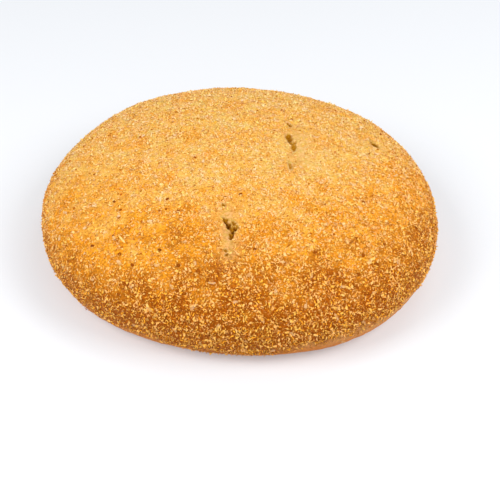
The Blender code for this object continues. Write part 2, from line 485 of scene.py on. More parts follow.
def bareness(points):
    """How bare of bran each point is, from 0 to 1."""
    bare = np.zeros(len(points))
    shifted = ragged(points)
    for x, y, length, width, turn, barest in BARE_BANDS:
        along, across = along_and_across(shifted, x, y, turn)
        band = np.exp(-((2 * across / width) ** 2) - (2 * along / length) ** 4)
        bare = np.maximum(bare, barest * band)
    for x, y, length, width, _, turn in PITS:
        reach = reach_from(points, length, width, x, y, turn)
        bare = np.maximum(bare, np.clip((CLEAR_REACH + CLEAR_FADE - reach) / CLEAR_FADE, 0, 1))
    bare = np.where(points[:, 2] > GIRTH_HEIGHT, bare, 0)
    angle = np.degrees(np.arctan2(points[:, 1], points[:, 0]))
    skirt = SKIRT_TOP + SKIRT_FRAY * noise_at(points, SKIRT_FRAY_SIZE)
    for turn, half_width, higher in SKIRT_WAVES:
        skirt += higher * np.exp(-(((angle - turn) / half_width) ** 2))
    below = np.clip(1 - (points[:, 2] - skirt) / SKIRT_FADE, 0, 1)
    return np.maximum(bare, below)


def covering(points, bare):
    """How well bran stuck at each point: 1 where it lies thickest."""
    cover = 1 - bare
    for x, y, radius, missing in SPARSE:
        cover *= 1 - missing * np.exp(-((away_from(points, x, y) / radius) ** 4))
    return cover


def sidedness(points):
    """How much of the side's strong baking each point had, with painted shade towards the front, from 0 to
    1.
    """
    low_down = (BROWN_BELOW - points[:, 2]) / BROWN_SPAN
    # painted shade: the front, away from the back light, browns more, on top of the real uneven baking
    towards_heat_and_shade = (points[:, 0] * HOT_AND_SHADED_SIDE[0] + points[:, 1] * HOT_AND_SHADED_SIDE[1]) / (LOAF_ACROSS / 2)
    side = np.maximum(low_down + HOT_AND_SHADED_SHARE * np.maximum(towards_heat_and_shade, FAR_SIDE_LIMIT), 0)
    for x, y, radius, more in BAKED:
        side += more * np.exp(-((away_from(points, x, y) / radius) ** 2))
    return np.clip(side, 0, 1)


def keep_on_points(mesh, name, values):
    """Stores one number for each point of the mesh."""
    attribute = mesh.attributes.new(name, "FLOAT", "POINT")
    attribute.data.foreach_set("value", np.asarray(values, np.float32))


def press_tears(mesh):
    """Moves the skin's points to make the tears, and keeps what later steps read."""
    points = array_of(mesh)
    normals = np.array([normal.vector[:] for normal in mesh.vertex_normals])
    press, lip, inside = tear_shape(points)
    on_crown = points[:, 2] > LOAF_HEIGHT / 2
    moved = points + normals * (np.where(on_crown, lip - press, 0))[:, None]
    mesh.vertices.foreach_set("co", moved.ravel())
    bare = bareness(points)
    keep_on_points(mesh, "torn", np.where(on_crown, inside, 0))
    keep_on_points(mesh, "bare", bare)
    keep_on_points(mesh, "cover", covering(points, bare))
    keep_on_points(mesh, "side", sidedness(points))
    mesh.update()
    print("deepest tear in mm:", round(press.max() / MM, 2))


press_tears(skin)

# %% [markdown]
# ## Helpers for node trees
#
# Both geometry and materials are node trees, and a tree built in a script is mostly nodes.new and
# links.new. One small helper adds a node, sets it up and links what feeds it, and a few more stand for
# the nodes that come again and again, so each tree below reads from top to bottom like a recipe.

# %% Helpers for node trees
def add(tree, kind, feeds=None, **settings):
    """A new node with its settings, and what feeds its inputs: a value, or another node's output."""
    node = tree.nodes.new(kind)
    for name, value in settings.items():
        setattr(node, name, value)
    for key, value in (feeds or {}).items():
        if isinstance(value, bpy.types.NodeSocket):
            tree.links.new(value, node.inputs[key])
        else:
            node.inputs[key].default_value = value
    return node


def maths(tree, operation, *values):
    """The output of a Math node."""
    return add(tree, "ShaderNodeMath", dict(enumerate(values)), operation=operation).outputs[0]


def rising(tree, value, least, most):
    """0 up to the least value, 1 from the most, and an even climb between."""
    feeds = {"Value": value, "From Min": least, "From Max": most}
    return add(tree, "ShaderNodeMapRange", feeds).outputs[0]


def between(tree, share, least, most):
    """What lies a share of the way from the least to the most."""
    feeds = {"Value": share, "To Min": least, "To Max": most}
    return add(tree, "ShaderNodeMapRange", feeds).outputs[0]


def lumps(tree, place, size, detail, fine_share=0.5):
    """Noise from 0 to 1 with lumps of about a given size."""
    scale = maths(tree, "DIVIDE", 1.0, size)
    feeds = {"Vector": place, "Scale": scale, "Detail": detail, "Roughness": fine_share}
    return add(tree, "ShaderNodeTexNoise", feeds).outputs[0]


def height_at(tree, place):
    """The Z of a place."""
    return add(tree, "ShaderNodeSeparateXYZ", {0: place}).outputs["Z"]


def new_tree(name, kind, inputs, outputs):
    """An empty node tree with named inputs, each with its default, and outputs."""
    tree = bpy.data.node_groups.new(name, kind)
    for label, socket_type, default in inputs:
        socket = tree.interface.new_socket(label, in_out="INPUT", socket_type=socket_type)
        if default is not None:
            socket.default_value = default
    for label, socket_type in outputs:
        tree.interface.new_socket(label, in_out="OUTPUT", socket_type=socket_type)
    return tree, tree.nodes.new("NodeGroupInput").outputs, tree.nodes.new("NodeGroupOutput").inputs


def run_tree(name, tree, host, values):
    """A plain mesh object made by a geometry tree on the host."""
    modifier = host.modifiers.new(tree.name, "NODES")
    modifier.node_group = tree
    for item in tree.interface.items_tree:
        if item.in_out == "INPUT" and item.name in values:
            modifier[item.identifier] = values[item.name]
    bpy.context.view_layer.update()
    graph = bpy.context.evaluated_depsgraph_get()
    evaluated = host.evaluated_get(graph)
    mesh = bpy.data.meshes.new_from_object(evaluated, preserve_all_data_layers=True, depsgraph=graph)
    host.modifiers.remove(modifier)
    mesh.name = name
    print(name, "triangles:", sum(len(face.vertices) - 2 for face in mesh.polygons))
    return object_from(name, mesh)


# %% [markdown]
# ## Finishes: what they share
#
# Crust colour comes from sugar and starch browning: least on the crown's middle, most on the side that
# was nearest to the oven's heat, and uneven everywhere. That side is the front, and part of its extra
# brown is painted shade, since the front faces away from the back light. The skin and every kind of flake
# browned in the same oven, so one shader group works out the browning for all of them, from the side value
# kept on the points and a noise of broad blotches. A second group gives fine mottling and a height for
# bumps, with its own scale in each material.

# %% Browning and mottling groups
BLOTCH_NOISE = (3.0, 0.62)  # detail, and how strong its fine part is
GRAIN_DETAIL = 4.0
GRAIN_EDGES = (0.42, 0.58)  # the mask goes from 0 to 1 between these values of the noise


def object_place(tree):
    """The place on the object."""
    return add(tree, "ShaderNodeTexCoord").outputs["Object"]


def browning_group():
    """How browned the loaf is at a place, with the painted shade of the front, from 0 to 1."""
    inputs = [
        ("Side", "NodeSocketFloat", 0.0),
        ("Blotch size", "NodeSocketFloat", 13 * MM),
        ("Blotch strength", "NodeSocketFloat", 1.35),
        ("Base", "NodeSocketFloat", 0.16),
    ]
    tree, given, wanted = new_tree("browning", "ShaderNodeTree", inputs, [("Browning", "NodeSocketFloat")])
    blotch = lumps(tree, object_place(tree), given["Blotch size"], *BLOTCH_NOISE)
    blotch = maths(tree, "MULTIPLY", maths(tree, "SUBTRACT", blotch, 0.5), given["Blotch strength"])
    total = maths(tree, "ADD", maths(tree, "ADD", given["Side"], given["Base"]), blotch)
    clamped = add(tree, "ShaderNodeClamp", {"Value": total}).outputs[0]
    tree.links.new(clamped, wanted["Browning"])
    return tree


def mottling_group():
    """Fine uneven grain: a mask for colour, and a height for bumps."""
    inputs = [("Grain size", "NodeSocketFloat", 0.8 * MM), ("Fine share", "NodeSocketFloat", 0.6)]
    outputs = [("Mask", "NodeSocketFloat"), ("Height", "NodeSocketFloat")]
    tree, given, wanted = new_tree("mottling", "ShaderNodeTree", inputs, outputs)
    grain = lumps(tree, object_place(tree), given["Grain size"], GRAIN_DETAIL, given["Fine share"])
    tree.links.new(rising(tree, grain, *GRAIN_EDGES), wanted["Mask"])
    tree.links.new(grain, wanted["Height"])
    return tree


BROWNING = browning_group()
MOTTLING = mottling_group()

# %% [markdown]
# ## Finish of the skin
#
# Between the flakes the skin is gold on the crown, orange at the shoulder and brown on the side, and its
# darker mottling and the side's deep brown are partly painted shade in the gaps between the flakes. Where
# it stretched round the tears, and low down on the skirt, it is smooth and pale, and inside the tears the
# olive-gold crumb shows, darker with depth by painted shade. The values kept on the points say where that
# is, and each part's colour is a function of its own. A gentle bump stands for pores under half a
# millimetre.

# %% Finish of the skin
SKIN_CROWN = (0.81, 0.61, 0.18, 1)
SKIN_SHOULDER = (1.0, 0.385, 0.016, 1)
# painted shade: the side's skin is partly real brown and partly darkened for the shade in the gaps between
# its flakes
SKIN_SIDE_WITH_GAP_SHADE = (0.44, 0.104, 0.003, 1)
# painted shade: the skin's darker mottling is partly real and partly shade in the gaps between flakes,
# darkest on the side
SKIN_MOTTLE_AND_GAP_SHADE = (0.58, 0.23, 0.016, 1)
SKIN_SIDE_MOTTLE_AND_GAP_SHADE = (0.13, 0.030, 0.0015, 1)
SKIN_PATCH = (0.94, 0.41, 0.035, 1)
PATCH_SIZE = 5 * MM
PATCH_SHARE = 0.5
SKIN_GRAIN = {"Grain_size": 1.2 * MM, "Fine_share": 0.7}
SKIN_BUMP = (0.8, 0.30 * MM)  # strength and height
SKIN_BARE = (0.66, 0.45, 0.12, 1)
SKIN_BARE_DUSTED = (0.76, 0.43, 0.18, 1)
BARE_DUST_SIZE = 2.4 * MM
SKIN_SKIRT = (0.68, 0.225, 0.032, 1)
SKIN_SKIRT_PALE = (0.80, 0.44, 0.12, 1)
CRUMB = (0.44, 0.19, 0.005, 1)
# painted shade deep in the tears, where the crumb lies in its own shadow
CRUMB_PAINTED_SHADE = (0.21, 0.055, 0.002, 1)
MOTTLE_AND_GAP_SHADE_SHARE = (0.65, 0.35)  # how dark the mottling and the painted gap shade are: where bran stuck, and where the skin is bare
CRUMB_SPECKLE_SIZE = 0.9 * MM
CRUMB_SPECKLE = (0.5, 1.5)  # least and most
CRUMB_FROM = (0.03, 0.20)  # torn this much, the crumb starts to show, and has taken over
CRUMB_SHADE_FROM = (0.25, 0.85)
ROUGHNESS = (0.55, 1.0)  # of the crust, and of the crumb
FLOURY_SHEEN = 0.10
CRUST_LOOK = {
    "Roughness": 0.6,
    "Specular IOR Level": 0.02,
    "Sheen Weight": FLOURY_SHEEN,
    "Sheen Roughness": 0.5,
    "Sheen Tint": (1.0, 0.9, 0.7, 1),
}


def mix(tree, factor, first, second):
    """The colour output of a Mix node."""
    node = add(tree, "ShaderNodeMix", {0: factor, 6: first, 7: second}, data_type="RGBA")
    return node.outputs[2]


def group(tree, inner, **values):
    """A placed node group with its own values, whose names have _ for a space."""
    node = tree.nodes.new("ShaderNodeGroup")
    node.node_tree = inner
    for name, value in values.items():
        node.inputs[name.replace("_", " ")].default_value = value
    return node


def attribute(tree, name):
    """A value kept on the mesh."""
    return add(tree, "ShaderNodeAttribute", attribute_name=name).outputs["Fac"]


def browned(tree):
    """How browned each place is, from the shared group."""
    placed = group(tree, BROWNING)
    tree.links.new(attribute(tree, "side"), placed.inputs["Side"])
    return placed.outputs["Browning"]


def bump(tree, shader, height, strength, distance):
    """Feeds a height into the shader's normal."""
    feeds = {"Height": height, "Strength": strength, "Distance": distance}
    tree.links.new(add(tree, "ShaderNodeBump", feeds).outputs[0], shader.inputs["Normal"])


def grain_mask(tree, size, fine_share=0.6):
    """The mask of the shared mottling at a size of its own."""
    return group(tree, MOTTLING, Grain_size=size, Fine_share=fine_share).outputs["Mask"]


def baked_colour(tree, browning):
    """Gold, then orange, then brown, with patches of another orange; the brown also holds painted shade of
    the side's gaps.
    """
    first_half, second_half = rising(tree, browning, 0.0, 0.5), rising(tree, browning, 0.5, 1.0)
    baked = mix(tree, second_half, mix(tree, first_half, SKIN_CROWN, SKIN_SHOULDER), SKIN_SIDE_WITH_GAP_SHADE)
    patches = maths(tree, "MULTIPLY", grain_mask(tree, PATCH_SIZE), PATCH_SHARE)
    return mix(tree, patches, baked, mix(tree, browning, SKIN_PATCH, SKIN_SIDE_WITH_GAP_SHADE))


def bare_colour(tree, browning):
    """Pale and dusted round the tears, and a tone of its own on the skirt."""
    dusted = mix(tree, grain_mask(tree, BARE_DUST_SIZE, 0.7), SKIN_BARE, SKIN_BARE_DUSTED)
    low_down = rising(tree, height_at(tree, object_place(tree)), GIRTH_HEIGHT, SKIRT_TOP)
    return mix(tree, low_down, dusted, mix(tree, browning, SKIN_SKIRT_PALE, SKIN_SKIRT))


def skin_finish():
    """The loaf's skin: browned, bare and torn parts, with painted shade between the flakes and deep in the
    tears.
    """
    material, tree, shader = new_material("crust_skin", CRUST_LOOK)
    browning = browned(tree)
    mottling = group(tree, MOTTLING, **SKIN_GRAIN)
    bare = attribute(tree, "bare")
    coloured = mix(tree, bare, baked_colour(tree, browning), bare_colour(tree, browning))
    # painted shade between the flakes: where the mottling mask is low, the skin darkens, most where bran
    # stuck
    darkest = mix(tree, browning, SKIN_MOTTLE_AND_GAP_SHADE, SKIN_SIDE_MOTTLE_AND_GAP_SHADE)
    darker = mix(tree, between(tree, bare, *MOTTLE_AND_GAP_SHADE_SHARE), coloured, darkest)
    mottled_and_shaded = mix(tree, mottling.outputs["Mask"], darker, coloured)
    speckle = between(tree, grain_mask(tree, CRUMB_SPECKLE_SIZE), *CRUMB_SPECKLE)
    torn = maths(tree, "MULTIPLY", attribute(tree, "torn"), speckle)
    in_tear = rising(tree, torn, *CRUMB_FROM)
    # painted shade: the crumb darkens with the tear's depth
    crumb = mix(tree, rising(tree, torn, *CRUMB_SHADE_FROM), CRUMB, CRUMB_PAINTED_SHADE)
    tree.links.new(mix(tree, in_tear, mottled_and_shaded, crumb), shader.inputs["Base Color"])
    tree.links.new(between(tree, in_tear, *ROUGHNESS), shader.inputs["Roughness"])
    bump(tree, shader, mottling.outputs["Height"], *SKIN_BUMP)
    return material


SKIN_FINISH = skin_finish()

# %% [markdown]
# ## Relief of the skin
#
# A baked skin is never smooth: it ripples where it dried, and it is dimpled where bran was pressed in.
# Sculpting that by hand would take hours, and a rule does it as well, so a small Geometry Nodes tree
# moves each point along its normal by two sizes of noise. The foot is left flat, so the loaf still
# stands.

# %% Relief of the skin
RELIEF = {
    "Ripple size": 9 * MM,
    "Ripple height": 0.45 * MM,
    "Dimple size": 4.2 * MM,
    "Dimple height": 0.55 * MM,
}
NOISE_GAIN = 2.0  # the noise strays from its middle by half at most, and this makes that one
RELIEF_FROM = (1.5 * MM, 6 * MM)  # no relief below the first height, and all of it above the second
GEOMETRY = ("Geometry", "NodeSocketGeometry")


def end_tree(tree, geometry, given, wanted, smooth):
    """Ends a geometry tree: instances made real, shading, and the material."""
    real = add(tree, "GeometryNodeRealizeInstances", {"Geometry": geometry}).outputs[0]
    feeds = {"Geometry": real, "Shade Smooth": smooth}
    shaded = add(tree, "GeometryNodeSetShadeSmooth", feeds).outputs[0]
    feeds = {"Geometry": shaded, "Material": given["Material"]}
    tree.links.new(add(tree, "GeometryNodeSetMaterial", feeds).outputs[0], wanted["Geometry"])


def relief_tree():
    """Geometry Nodes: noise relief along the normals, none on the foot."""
    inputs = [(*GEOMETRY, None)]
    inputs += [(name, "NodeSocketFloat", value) for name, value in RELIEF.items()]
    inputs += [("Material", "NodeSocketMaterial", None)]
    tree, given, wanted = new_tree("skin_relief", "GeometryNodeTree", inputs, [GEOMETRY])
    place = add(tree, "GeometryNodeInputPosition").outputs[0]
    total = 0.0
    for name in ("Ripple", "Dimple"):
        lump = lumps(tree, place, given[name + " size"], 1.0)
        lift = maths(tree, "MULTIPLY", maths(tree, "SUBTRACT", lump, 0.5), given[name + " height"])
        total = maths(tree, "ADD", total, lift)
    above_foot = rising(tree, height_at(tree, place), *RELIEF_FROM)
    total = maths(tree, "MULTIPLY", maths(tree, "MULTIPLY", total, NOISE_GAIN), above_foot)
    normal = add(tree, "GeometryNodeInputNormal").outputs[0]
    offset = add(tree, "ShaderNodeVectorMath", {0: normal, "Scale": total}, operation="SCALE").outputs[0]
    feeds = {"Geometry": given["Geometry"], "Offset": offset}
    moved = add(tree, "GeometryNodeSetPosition", feeds).outputs[0]
    end_tree(tree, moved, given, wanted, smooth=True)
    return tree


skin_host = object_from("skin_host", skin)
crust = run_tree("loaf_crust", relief_tree(), skin_host, {"Material": SKIN_FINISH})
bpy.data.objects.remove(skin_host)

# %% [markdown]
# ## Shapes of bran
#
# Wheat bran is thin, curled and ragged, with a pale inner face and torn corners. Modelling one flake
# well and repeating it shows at once as a pattern, so each kind has several shapes. A flake is a ring
# of uneven corners with one point above and one below, only a dozen triangles, bent along its length so
# that its ends lift off the skin. Semolina grains are stubby eight-sided chips, and bran slivers are
# thin curled strips.

# %% Shapes of bran
SHAPES_PER_KIND = 8
CORNER_SHIFT = 0.3  # as a share of the step from one corner to the next
CORNER_REACH = (0.36, 0.54)  # as a share of the flake's length
GRAIN_WIDTH, GRAIN_HEIGHT, GRAIN_UNEVEN = 0.38, 0.34, 0.1
SLIVER_BEND = (0.5, 1.6)
SLIVER_RISE = (0.1, 0.5)
SLIVER_SIDES = 3
SLIVER_TAPER = (0.5, 1.2)  # share of the full width near the ends, and how fast it grows inwards


def mesh_from(name, points, faces):
    """A mesh with its faces turned outwards."""
    mesh = bmesh.new()
    made = [mesh.verts.new(point) for point in points]
    for face in faces:
        mesh.faces.new([made[index] for index in face])
    bmesh.ops.recalc_face_normals(mesh, faces=mesh.faces)
    return mesh_from_bmesh(name, mesh)


def flake_shape(name, draw, corners=5, width=0.5, thickness=0.12, curl=0.5, ruffle=0.12):
    """A curled flake of unit length: uneven corners round two middle points."""
    points = []
    for corner in range(corners):
        angle = math.tau * (corner + draw.uniform(-CORNER_SHIFT, CORNER_SHIFT)) / corners
        reach = draw.uniform(*CORNER_REACH)
        x, y = reach * math.cos(angle), reach * width * math.sin(angle)
        points.append(Vector((x, y, curl * x * x + draw.uniform(-ruffle, ruffle))))
    points += [Vector((0, 0, thickness / 2)), Vector((0, 0, -thickness / 2))]
    faces = []
    for corner in range(corners):
        after = (corner + 1) % corners
        faces += [(corner, after, corners), (after, corner, corners + 1)]
    return mesh_from(name, points, faces)


def grain_shape(name, draw):
    """A stubby chip of unit length."""
    reaches = ((0.5, 0, 0), (0, GRAIN_WIDTH, 0), (0, 0, GRAIN_HEIGHT))
    ends = [Vector(reach) * sign for reach in reaches for sign in (1, -1)]
    points = [end + Vector([draw.uniform(-GRAIN_UNEVEN, GRAIN_UNEVEN) for _ in range(3)]) for end in ends]
    return mesh_from(name, points, list(product((0, 1), (2, 3), (4, 5))))


def sliver_shape(name, draw, steps=5, width=0.10, thickness=0.07):
    """A thin strip of unit length, curled in an arc and a little twisted, with pointed ends."""
    bend = draw.uniform(*SLIVER_BEND) * draw.choice((-1, 1))
    rise = draw.uniform(*SLIVER_RISE)
    points, faces = [], []
    for step in range(1, steps):
        along = step / steps - 0.5
        middle = Vector((along, bend * along * along, rise * along * along))
        taper = SLIVER_TAPER[0] + SLIVER_TAPER[1] * (0.25 - along * along)
        for side in range(SLIVER_SIDES):
            angle = math.tau * side / SLIVER_SIDES + along
            spread = Vector((0, width * math.cos(angle), thickness * math.sin(angle))) * taper
            points.append(middle + spread)
    last = (steps - 2) * SLIVER_SIDES
    neighbours = [(side, (side + 1) % SLIVER_SIDES) for side in range(SLIVER_SIDES)]
    for near in range(0, last, SLIVER_SIDES):
        far = near + SLIVER_SIDES
        faces += [(near + side, far + side, far + after, near + after) for side, after in neighbours]
    for end, ring in ((-0.5, 0), (0.5, last)):
        points.append(Vector((end, bend * end * end, rise * end * end)))
        faces += [(ring + side, ring + after, len(points) - 1) for side, after in neighbours]
    return mesh_from(name, points, faces)


def shape_collection(name, maker, seed, **sizes):
    """Several shapes of one kind, kept out of the scene."""
    draw = random.Random(seed)
    collection = bpy.data.collections.new(name)
    for index in range(SHAPES_PER_KIND):
        mesh = maker(f"{name}_{index}", draw, **sizes)
        collection.objects.link(bpy.data.objects.new(mesh.name, mesh))
    return collection


FLAT_FLAKES = shape_collection("flat_flakes", flake_shape, 11, width=0.42)
CURLED_FLAKES = shape_collection("curled_flakes", flake_shape, 12, corners=6, curl=0.8, ruffle=0.16)
GRAINS = shape_collection("grains", grain_shape, 13)
SLIVERS = shape_collection("slivers", sliver_shape, 14)

# %% [markdown]
# ## Strewing them over the skin
#
# Strewing is what Geometry Nodes do best: points are spread over the skin's faces, and a random shape
# is set on each, turned to lie along the skin, spun, leaned and sized at random. The bran lies in loose
# clumps, so a soft noise thins it here and there, and the bare skin kept on the points stays clear.
# Each flake also keeps a random tone, which its finish reads to give it a colour of its own.

# %% Strewing tree
STREW_INPUTS = [
    (*GEOMETRY, None),
    ("Shapes", "NodeSocketCollection", None),
    ("Count per square cm", "NodeSocketFloat", 20.0),
    ("Shortest", "NodeSocketFloat", 1 * MM),
    ("Longest", "NodeSocketFloat", 2 * MM),
    ("Lean", "NodeSocketFloat", 0.4),
    ("Side lean", "NodeSocketFloat", 1.6),
    ("Lift", "NodeSocketFloat", 0.0),
    ("Clump size", "NodeSocketFloat", 4.5 * MM),
    ("Thinnest", "NodeSocketFloat", 0.3),
    ("Side share", "NodeSocketFloat", 1.0),
    ("Sparse share", "NodeSocketFloat", 1.0),
    ("Seed", "NodeSocketInt", 1),
    ("Material", "NodeSocketMaterial", None),
]
CLUMP_EDGES = (0.40, 0.56)  # the clump noise goes from thinnest to full between these
TORN_LIMIT = 0.25  # nothing lies where the skin is torn more than this
PER_SQUARE_METRE = 1e4  # this many square centimetres
LENGTH_BIAS = 1.5  # over 1, so short flakes are commoner
WIDTH_SHARES = (0.7, 1.25)  # least and most of a shape's own width
LENGTH_SEED, WIDTH_SEED, TONE_SEED = 5, 6, 9


def chance(tree, least, most, seed):
    """A random number for each flake."""
    feeds = {2: least, 3: most, "Seed": seed}
    return add(tree, "FunctionNodeRandomValue", feeds, data_type="FLOAT").outputs[1]


def kept_value(tree, name):
    """A value kept on the skin's points."""
    return add(tree, "GeometryNodeInputNamedAttribute", {"Name": name}, data_type="FLOAT").outputs[0]


def flake_density(tree, given, side):
    """How many flakes lie on a square metre of each place."""
    place = add(tree, "GeometryNodeInputPosition").outputs[0]
    clump = lumps(tree, place, given["Clump size"], 2.0)
    clump = between(tree, rising(tree, clump, *CLUMP_EDGES), given["Thinnest"], 1.0)
    not_bare = maths(tree, "SUBTRACT", 1.0, kept_value(tree, "bare"))
    cover = between(tree, given["Sparse share"], not_bare, kept_value(tree, "cover"))
    not_torn = maths(tree, "LESS_THAN", kept_value(tree, "torn"), TORN_LIMIT)
    on_side = between(tree, side, 1.0, given["Side share"])
    density = maths(tree, "MULTIPLY", given["Count per square cm"], PER_SQUARE_METRE)
    for share in (clump, cover, not_torn, on_side):
        density = maths(tree, "MULTIPLY", density, share)
    return density


def flake_turn(tree, given, side, along_skin):
    """Each flake's turn: spun on the skin, and leaned more where the side is baked."""
    lean = maths(tree, "MULTIPLY", given["Lean"], between(tree, side, 1.0, given["Side lean"]))
    lean_back = maths(tree, "MULTIPLY", lean, -1.0)
    least = add(tree, "ShaderNodeCombineXYZ", {"X": lean_back, "Y": lean_back, "Z": 0.0}).outputs[0]
    most = add(tree, "ShaderNodeCombineXYZ", {"X": lean, "Y": lean, "Z": math.tau}).outputs[0]
    feeds = {0: least, 1: most, "Seed": given["Seed"]}
    turn = add(tree, "FunctionNodeRandomValue", feeds, data_type="FLOAT_VECTOR").outputs[0]
    turn = add(tree, "FunctionNodeEulerToRotation", {0: turn}).outputs[0]
    feeds = {"Rotation": along_skin, "Rotate By": turn}
    return add(tree, "FunctionNodeRotateRotation", feeds, rotation_space="LOCAL").outputs[0]


def flake_size(tree, given):
    """Each flake's length and width."""
    value = maths(tree, "POWER", chance(tree, 0.0, 1.0, LENGTH_SEED), LENGTH_BIAS)
    length = between(tree, value, given["Shortest"], given["Longest"])
    width = maths(tree, "MULTIPLY", length, chance(tree, *WIDTH_SHARES, WIDTH_SEED))
    return add(tree, "ShaderNodeCombineXYZ", {"X": length, "Y": width, "Z": length}).outputs[0]


def strew_tree():
    """Geometry Nodes: shapes strewn over the skin."""
    tree, given, wanted = new_tree("strew", "GeometryNodeTree", STREW_INPUTS, [GEOMETRY])
    side = kept_value(tree, "side")
    density = flake_density(tree, given, side)
    feeds = {"Mesh": given["Geometry"], "Density": density, "Seed": given["Seed"]}
    spread = add(tree, "GeometryNodeDistributePointsOnFaces", feeds)
    feeds = {"Collection": given["Shapes"], "Separate Children": True, "Reset Children": True}
    shapes = add(tree, "GeometryNodeCollectionInfo", feeds).outputs[0]
    feeds = {"Points": spread.outputs["Points"], "Instance": shapes, "Pick Instance": True}
    feeds["Rotation"] = flake_turn(tree, given, side, spread.outputs["Rotation"])
    feeds["Scale"] = flake_size(tree, given)
    placed = add(tree, "GeometryNodeInstanceOnPoints", feeds).outputs[0]
    lift = add(tree, "ShaderNodeCombineXYZ", {"Z": given["Lift"]}).outputs[0]
    feeds = {"Instances": placed, "Translation": lift, "Local Space": True}
    placed = add(tree, "GeometryNodeTranslateInstances", feeds).outputs[0]
    feeds = {"Geometry": placed, "Name": "tone", "Value": chance(tree, 0.0, 1.0, TONE_SEED)}
    toned = add(tree, "GeometryNodeStoreNamedAttribute", feeds, data_type="FLOAT", domain="INSTANCE")
    end_tree(tree, toned.outputs[0], given, wanted, smooth=False)
    return tree


STREW = strew_tree()

# %% [markdown]
# ## Finishes of bran and semolina
#
# Each kind of flake runs from a pale to a deep colour, and its own tone picks a place in between. All
# of them brown a little more down the side, by the shared browning, and carry the shared mottling at a
# scale of their own.

# %% Finishes of bran and semolina
BRAN_BROWNED = (0.42, 0.125, 0.007, 1)
TOASTED = (1.0, 0.44, 0.030, 1)
DUST = (0.90, 0.69, 0.44, 1)
DUST_SIZE = 3.6 * MM
DUST_SHARE = 0.75
BRAN_GRAIN = {"Grain_size": 0.35 * MM, "Fine_share": 0.5}
BRAN_BUMP = (0.3, 0.08 * MM)  # strength and height
BRAN_MOTTLING = 0.25  # how far the mottling takes a flake towards its oldest colour
BRAN_ROUGHNESS = 0.7


def bran_finish(name, pale, deep, oldest=BRAN_BROWNED, oldest_share=0.45, dust_share=0.0):
    """A finish that takes its colour from each flake's tone and the browning of its place."""
    look = {**CRUST_LOOK, "Roughness": BRAN_ROUGHNESS}
    look["Sheen Weight"] = FLOURY_SHEEN if dust_share else 0.0
    material, tree, shader = new_material(name, look)
    own = mix(tree, attribute(tree, "tone"), (*pale, 1), (*deep, 1))
    own = mix(tree, maths(tree, "MULTIPLY", grain_mask(tree, DUST_SIZE), dust_share), own, DUST)
    aged = mix(tree, maths(tree, "MULTIPLY", browned(tree), oldest_share), own, oldest)
    mottling = group(tree, MOTTLING, **BRAN_GRAIN)
    darker = mix(tree, BRAN_MOTTLING, aged, oldest)
    tree.links.new(mix(tree, mottling.outputs["Mask"], darker, aged), shader.inputs["Base Color"])
    bump(tree, shader, mottling.outputs["Height"], *BRAN_BUMP)
    return material


DUSTED = {"oldest": TOASTED, "dust_share": DUST_SHARE}
PALE_BRAN = bran_finish("bran_pale", (0.84, 0.72, 0.27), (0.82, 0.61, 0.13), oldest_share=0.56, **DUSTED)
GOLDEN_BRAN = bran_finish("bran_golden", (0.83, 0.58, 0.12), (0.80, 0.45, 0.04), oldest_share=1.0, **DUSTED)
LITTLE_DUST = {"oldest_share": 0.65, "dust_share": DUST_SHARE / 3}
AMBER_BRAN = bran_finish("bran_amber", (0.92, 0.50, 0.10), (0.72, 0.31, 0.035), **LITTLE_DUST)
TOASTED_BRAN = bran_finish("bran_toasted", (0.78, 0.31, 0.025), (0.42, 0.13, 0.006))
BROWN_BRAN = bran_finish("bran_brown", (0.58, 0.17, 0.012), (0.28, 0.055, 0.004))
COARSE_BRAN = bran_finish("bran_coarse", (0.88, 0.55, 0.18), (0.76, 0.38, 0.07), dust_share=DUST_SHARE)
SEMOLINA = bran_finish("semolina", (0.87, 0.64, 0.22), (0.87, 0.51, 0.09), oldest_share=0.7, **DUSTED)
# painted shade of small pits in the crust
PIT_SHADE = bran_finish("bran_scorched", (0.25, 0.045, 0.004), (0.16, 0.025, 0.003))

# %% [markdown]
# ## Strewing each kind
#
# Pale, golden and amber flakes cover most of the crust, and semolina grains fill in between. Toasted,
# curled and brown bran lies mostly on the sides, and slivers are few. Each kind is one piece, with a
# row of its own in the table: how many, how long, how far they lean and stand off, and what else
# differs from the tree.

# %% Strewing each kind
# name, shapes, finish, count per square cm, shortest and longest in mm, lean in degrees, how far it stands
# off as a share of its length, seed, and the values that differ from the tree's own
KINDS = (
    ("bran_pale", FLAT_FLAKES, PALE_BRAN, 44, (0.9, 2.5), 30, 0.10, 1, {"Side share": 1.1}),
    ("bran_golden", FLAT_FLAKES, GOLDEN_BRAN, 46, (0.9, 2.5), 30, 0.06, 2,
     {"Side share": 0.9, "Sparse share": 0.5}),
    ("bran_amber", FLAT_FLAKES, AMBER_BRAN, 42, (0.9, 2.3), 30, 0.04, 8,
     {"Side share": 1.35, "Sparse share": 0.0}),
    ("bran_toasted", FLAT_FLAKES, TOASTED_BRAN, 8, (1.0, 2.4), 26, 0.06, 7, {"Side share": 5.8}),
    ("bran_curled", CURLED_FLAKES, PALE_BRAN, 4, (1.5, 2.8), 32, 0.16, 3, {"Side share": 4.0}),
    ("bran_brown", FLAT_FLAKES, BROWN_BRAN, 1.2, (0.9, 1.7), 16, 0.35, 4,
     {"Side share": 5.0, "Sparse share": 0.0}),
    ("bran_crumbs", GRAINS, BROWN_BRAN, 0.25, (1.2, 2.2), 60, 0.10, 10,
     {"Side share": 4.0, "Sparse share": 0.0}),
    ("bran_slivers", SLIVERS, PALE_BRAN, 3, (1.8, 3.4), 24, 0.10, 5, {}),
    ("semolina", GRAINS, SEMOLINA, 50, (0.4, 0.9), 60, 0.20, 6, {"Thinnest": 0.5}),
)


